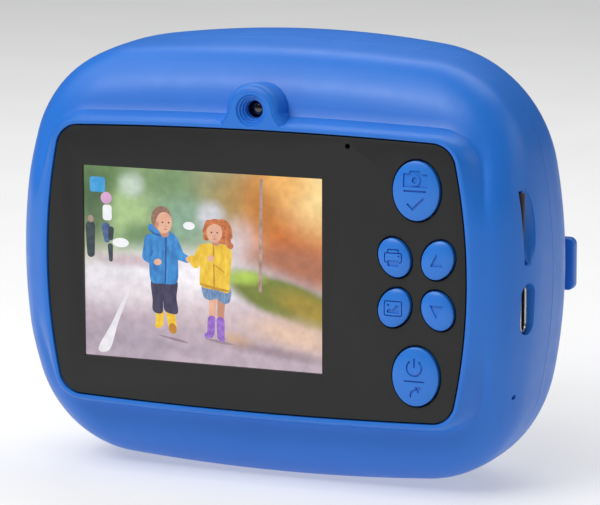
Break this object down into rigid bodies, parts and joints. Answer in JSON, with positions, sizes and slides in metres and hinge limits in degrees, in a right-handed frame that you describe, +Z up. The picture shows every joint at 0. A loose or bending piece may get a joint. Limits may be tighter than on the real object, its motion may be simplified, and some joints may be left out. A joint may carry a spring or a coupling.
{
  "type": "kids digital camera",
  "caption": "Rounded blue children's instant-print camera with a rear screen, raised keys, a side-hinged front door and a paper roll inside.",
  "frame": {"origin": "centre of the bounding box's base, on the flat that the camera rests on", "axes": "+Z up, +X to the right of someone looking at the screen, +Y from the screen towards the lens; the screen faces -Y"},
  "size_m": [0.1052, 0.051, 0.0846],
  "materials": {
    "blue_casing": "satin",
    "blue_keys": "satin",
    "window_black": "gloss",
    "display": "gloss",
    "black_plastic": "matte",
    "lens_glass": "gloss",
    "bright_steel": "brushed",
    "chrome_ring": "polished",
    "circuit_board": "matte",
    "silicone_rubber": "matte",
    "gear_plastic": "matte",
    "battery_foil": "satin",
    "thermal_paper": "matte"
  },
  "bodies": {
    "case": {"rear_cover": "blue_casing", "front_housing": "blue_casing", "door_hinge_pin": "bright_steel", "case_screw_1": "bright_steel", "case_screw_2": "bright_steel", "case_screw_3": "bright_steel", "case_screw_4": "bright_steel", "display_window": "window_black", "lcd_module": "display", "lcd_foam_pad": "silicone_rubber", "key_membrane": "silicone_rubber", "main_board": "circuit_board", "microphone": "black_plastic", "selfie_lens": "lens_glass", "selfie_barrel": "black_plastic", "usb_c_port": "bright_steel", "card_socket": "bright_steel", "battery": "battery_foil", "speaker": "black_plastic", "printer_chassis": "black_plastic", "paper_strip": "thermal_paper", "idler_axle": "bright_steel", "feed_motor": "bright_steel", "print_head_pin": "bright_steel", "head_spring_left": "bright_steel", "head_spring_right": "bright_steel", "tear_bar": "bright_steel", "lens_holder": "black_plastic", "camera_sensor_board": "circuit_board", "lens_barrel": "black_plastic", "lens_element": "lens_glass", "lens_ring": "chrome_ring", "lens_window": "lens_glass"},
    "door": {"front_door": "blue_casing"},
    "shutter_key": {"key_shutter": "blue_keys"},
    "power_key": {"key_power": "blue_keys"},
    "print_key": {"key_print": "blue_keys"},
    "up_key": {"key_up": "blue_keys"},
    "gallery_key": {"key_gallery": "blue_keys"},
    "down_key": {"key_down": "blue_keys"},
    "card": {"memory_card": "black_plastic"},
    "roll": {"paper_roll": "thermal_paper", "roll_spindle": "black_plastic"},
    "platen": {"platen_rubber": "silicone_rubber", "platen_shaft": "bright_steel", "platen_gear": "gear_plastic"},
    "idler": {"idler_gear": "gear_plastic"},
    "motor_rotor": {"motor_shaft": "bright_steel", "motor_pinion": "gear_plastic"},
    "head": {"print_head": "gear_plastic"}
  },
  "joints": [
    {"name": "shutter_key_press", "type": "slide", "parent": "case", "child": "shutter_key", "axis": [0, 1, 0], "range_m": [0, 0.0005], "stiffness_N_per_m": 3000, "springref_m": -0.0003},
    {"name": "power_key_press", "type": "slide", "parent": "case", "child": "power_key", "axis": [0, 1, 0], "range_m": [0, 0.0005], "stiffness_N_per_m": 3000, "springref_m": -0.0003},
    {"name": "print_key_press", "type": "slide", "parent": "case", "child": "print_key", "axis": [0, 1, 0], "range_m": [0, 0.0005], "stiffness_N_per_m": 3000, "springref_m": -0.0003},
    {"name": "up_key_press", "type": "slide", "parent": "case", "child": "up_key", "axis": [0, 1, 0], "range_m": [0, 0.0005], "stiffness_N_per_m": 3000, "springref_m": -0.0003},
    {"name": "gallery_key_press", "type": "slide", "parent": "case", "child": "gallery_key", "axis": [0, 1, 0], "range_m": [0, 0.0005], "stiffness_N_per_m": 3000, "springref_m": -0.0003},
    {"name": "down_key_press", "type": "slide", "parent": "case", "child": "down_key", "axis": [0, 1, 0], "range_m": [0, 0.0005], "stiffness_N_per_m": 3000, "springref_m": -0.0003},
    {"name": "door_swing", "type": "hinge", "parent": "case", "child": "door", "pos_m": [-0.0486, 0.00865, 0.04185], "axis": [0, 0, 1], "range_deg": [0, 95]},
    {"name": "card_slide", "type": "slide", "parent": "case", "child": "card", "axis": [1, 0, 0], "range_m": [0, 0.012]},
    {"name": "platen_spin", "type": "hinge", "parent": "case", "child": "platen", "pos_m": [0, 0.0111, 0.06435], "axis": [1, 0, 0], "continuous": true},
    {"name": "idler_spin", "type": "hinge", "parent": "case", "child": "idler", "pos_m": [0, 0.00137, 0.05921], "axis": [1, 0, 0], "continuous": true},
    {"name": "motor_spin", "type": "hinge", "parent": "case", "child": "motor_rotor", "pos_m": [0, 0.003, 0.04985], "axis": [1, 0, 0], "continuous": true},
    {"name": "roll_spin", "type": "hinge", "parent": "case", "child": "roll", "pos_m": [0, 0.0068, 0.02185], "axis": [1, 0, 0], "continuous": true},
    {"name": "head_lift", "type": "hinge", "parent": "case", "child": "head", "pos_m": [0, 0.00465, 0.05855], "axis": [1, 0, 0], "range_deg": [0, 3], "stiffness_Nm_per_rad": 0.4, "springref_deg": -1.15}
  ],
  "couplings": [
    {"joint": "platen_spin", "follows": "roll_spin", "ratio": 3.125},
    {"joint": "idler_spin", "follows": "roll_spin", "ratio": -2.1635},
    {"joint": "motor_spin", "follows": "roll_spin", "ratio": 4.6875}
  ]
}
